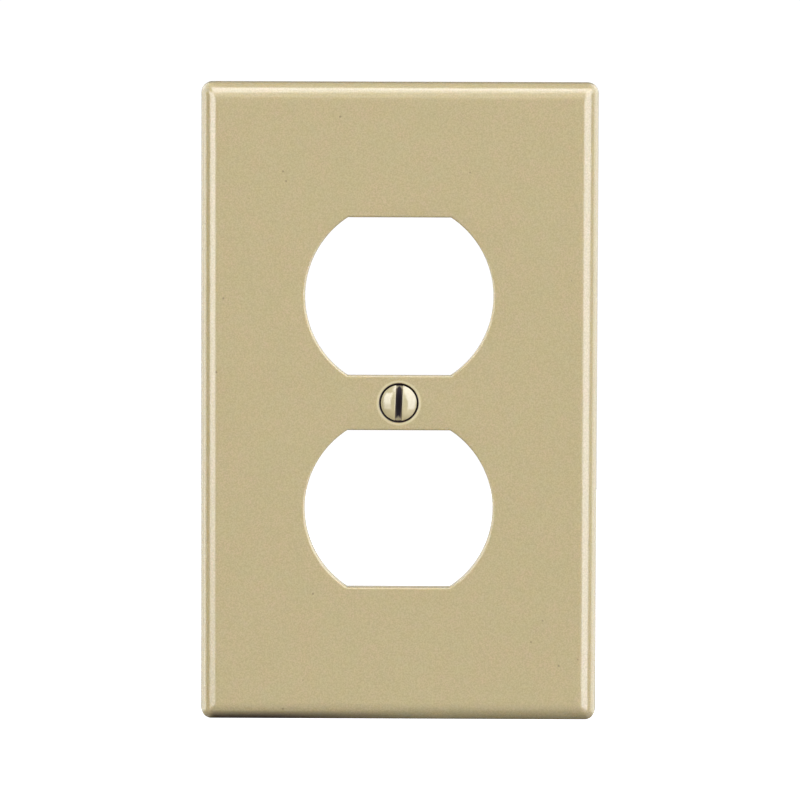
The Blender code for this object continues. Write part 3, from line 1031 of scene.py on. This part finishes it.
def build_studio():
    scene = bpy.context.scene
    scene.view_settings.view_transform = "Standard"
    scene.view_settings.look = "None"

    world = bpy.data.worlds.new("white_room")
    scene.world = world
    world.use_nodes = True
    tree = world.node_tree
    tree.nodes.clear()
    out = tree.nodes.new("ShaderNodeOutputWorld")
    room = tree.nodes.new("ShaderNodeBackground")
    room.inputs["Color"].default_value = (1, 1, 1, 1)
    white = tree.nodes.new("ShaderNodeBackground")
    white.inputs["Color"].default_value = (1, 1, 1, 1)
    white.inputs["Strength"].default_value = 1.05
    coord = tree.nodes.new("ShaderNodeTexCoord")
    split = tree.nodes.new("ShaderNodeSeparateXYZ")
    tree.links.new(coord.outputs["Generated"], split.inputs[0])

    def remap(value, lo, hi, out_lo, out_hi):
        node = tree.nodes.new("ShaderNodeMapRange")
        node.interpolation_type = "SMOOTHSTEP"
        node.inputs["From Min"].default_value = lo
        node.inputs["From Max"].default_value = hi
        node.inputs["To Min"].default_value = out_lo
        node.inputs["To Max"].default_value = out_hi
        tree.links.new(value, node.inputs["Value"])
        return node.outputs["Result"]

    def mul(a, b):
        node = tree.nodes.new("ShaderNodeMath")
        node.operation = "MULTIPLY"
        tree.links.new(a, node.inputs[0])
        if isinstance(b, float):
            node.inputs[1].default_value = b
        else:
            tree.links.new(b, node.inputs[1])
        return node.outputs[0]

    def more(a, b):
        node = tree.nodes.new("ShaderNodeMath")
        node.operation = "ADD"
        tree.links.new(a, node.inputs[0])
        if isinstance(b, float):
            node.inputs[1].default_value = b
        else:
            tree.links.new(b, node.inputs[1])
        return node.outputs[0]

    def size(a):
        node = tree.nodes.new("ShaderNodeMath")
        node.operation = "ABSOLUTE"
        tree.links.new(a, node.inputs[0])
        return node.outputs[0]

    x, y, z = split.outputs
    # pale walls beside and behind the object; level with it they start further
    # back, and straight behind it only a low pale band is lit
    reach = more(y, remap(z, 0.10, 0.25, 0.0, 0.38))
    reach = more(reach, remap(z, -0.38, -0.22, 0.25, 0.0))
    walls = remap(reach, 0.17, 0.28, 0.0, 1.0)
    band = mul(remap(z, -0.15, -0.11, 0.0, 1.0), remap(z, 0.11, 0.135, 1.0, 0.0))
    band = remap(band, 0.0, 1.0, REAR_MIDDLE, BAND)
    middle = mul(remap(size(x), 0.12, 0.32, 1.0, 0.0), band)
    walls = mul(walls, more(remap(size(x), 0.12, 0.32, 0.0, 1.0), middle))
    walls = mul(walls, remap(z, 0.30, 0.55, 1.0, 0.55))
    walls = mul(walls, remap(z, 0.72, 0.90, 1.0, 0.1))
    walls = mul(walls, remap(z, -0.50, -0.18, 0.12, 1.0))
    walls = mul(walls, remap(y, 0.74, 0.94, 1.0, 0.6))
    # a pale ceiling in front, between the softboxes
    ceiling = mul(remap(y, -0.45, -0.25, 1.0, 0.0), remap(z, 0.33, 0.46, 0.0, 1.0))
    ceiling = mul(ceiling, remap(size(x), 0.25, 0.45, 1.0, 0.0))
    ceiling = mul(ceiling, remap(z, 0.46, 0.60, 1.0, 0.3))
    # a dim table in front, brighter to the right
    table = mul(remap(y, -0.30, -0.10, 1.0, 0.0), remap(z, -0.55, -0.30, 1.0, 0.0))
    table = mul(table, remap(x, -0.30, 0.45, TABLE[0], TABLE[1]))
    table = mul(table, remap(z, -0.90, -0.70, 0.1, 1.0))
    # something dark stands on it, a little left of the middle
    table = mul(table, remap(size(more(x, 0.03)), 0.025, 0.06, 0.0, 1.0))
    level = more(mul(walls, WALLS), mul(ceiling, CEILING_GLOW))
    level = more(more(level, table), AMBIENT)
    tree.links.new(level, room.inputs["Strength"])
    path = tree.nodes.new("ShaderNodeLightPath")
    mix = tree.nodes.new("ShaderNodeMixShader")
    tree.links.new(path.outputs["Is Camera Ray"], mix.inputs[0])
    tree.links.new(room.outputs[0], mix.inputs[1])
    tree.links.new(white.outputs[0], mix.inputs[2])
    tree.links.new(mix.outputs[0], out.inputs[0])

    strip("left_softbox", (-64, -27), (-3.5, 35), BOX_LEFT * 0.98, WARM)
    strip("left_softbox_edge", (-64, -27), (-7, -3.5), BOX_LEFT * 0.78, WARM)
    strip("left_softbox_low", (-64, -27), (-24, -7), BOX_LEFT * 0.52, WARM)
    strip("left_softbox_high", (-30, -12), (42, 64), BOX_LEFT * 0.65, COOL)
    strip("right_softbox", (27.5, 75), (-25, 66), BOX_RIGHT, COOL)
    strip("top_softbox_back", (-15, 15), (70, 87), BOX_TOP, COOL)
    strip("top_softbox_middle", (-15, 15), (56, 70), BOX_TOP * 0.45, COOL)
    strip("top_softbox_front", (-18, 18), (42, 56), BOX_TOP * 0.08, COOL)
    strip("left_edge_light", (-113, -93), (-16, 8), LEFT_EDGE, PALE)
    strip("right_edge_light", (93, 113), (-16, 8), RIGHT_EDGE, PALE)
    strip("rear_left_fill", (-160, -118), (9, 42), REAR_FILL, COOL)
    strip("rear_right_fill", (118, 160), (9, 42), REAR_FILL, COOL)

    # pale floor, far below the object
    bm = bmesh.new()
    bmesh.ops.create_grid(bm, x_segments=1, y_segments=1, size=15.0)
    mesh = bpy.data.meshes.new("floor")
    bm.to_mesh(mesh)
    bm.free()
    floor = bpy.data.objects.new("floor", mesh)
    floor.location = (0, 0, -1.2)
    bpy.context.scene.collection.objects.link(floor)
    mat = bpy.data.materials.new("pale_floor")
    mat.use_nodes = True
    shader = mat.node_tree.nodes["Principled BSDF"]
    shader.inputs["Base Color"].default_value = (0.9, 0.9, 0.9, 1)
    shader.inputs["Roughness"].default_value = 0.9
    shader.inputs["Emission Color"].default_value = (1, 1, 1, 1)
    shader.inputs["Emission Strength"].default_value = 1.0
    mesh.materials.append(mat)
    floor.visible_diffuse = False
    floor.visible_glossy = False
    floor.visible_transmission = False
    floor.visible_shadow = False


def build_camera():
    azimuth, elevation, roll = (math.radians(a) for a in (0.310, 3.192, 0.196))
    distance = 0.700
    focal_px = 3795.9
    centre_px = (399.03, 401.19)
    cam = bpy.data.cameras.new("camera")
    cam.sensor_width = 36.0
    cam.lens = focal_px / 800 * 36.0
    cam.clip_start, cam.clip_end = 0.01, 100.0
    obj = bpy.data.objects.new("camera", cam)
    d = Vector(
        (
            math.sin(azimuth) * math.cos(elevation),
            -math.cos(azimuth) * math.cos(elevation),
            math.sin(elevation),
        )
    )
    forward = -d
    right = forward.cross(Vector((0, 0, 1))).normalized()
    up = right.cross(forward)
    r = math.cos(roll) * right + math.sin(roll) * up
    u = -math.sin(roll) * right + math.cos(roll) * up
    obj.matrix_world = Matrix(
        (
            (r.x, u.x, d.x, d.x * distance),
            (r.y, u.y, d.y, d.y * distance),
            (r.z, u.z, d.z, d.z * distance),
            (0, 0, 0, 1),
        )
    )
    cam.shift_x = (400.0 - centre_px[0]) / 800
    cam.shift_y = (centre_px[1] - 400.0) / 800
    bpy.context.scene.collection.objects.link(obj)
    bpy.context.scene.camera = obj


plate = build_plate()
join_ribs(plate)
smooth(plate, 35)
plate.data.materials.clear()
plate.data.materials.append(ivory_material())
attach(plate, "plate")
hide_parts("wall_plate")

screw = build_screw()
smooth(screw, 40)
screw.data.materials.append(screw_material())
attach(screw, "screw")
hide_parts("mounting_screw")

washer = build_washer()
smooth(washer, 40)
washer.data.materials.append(washer_material())
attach(washer, "washer")
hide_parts("screw_retaining_washer")

build_studio()
build_camera()
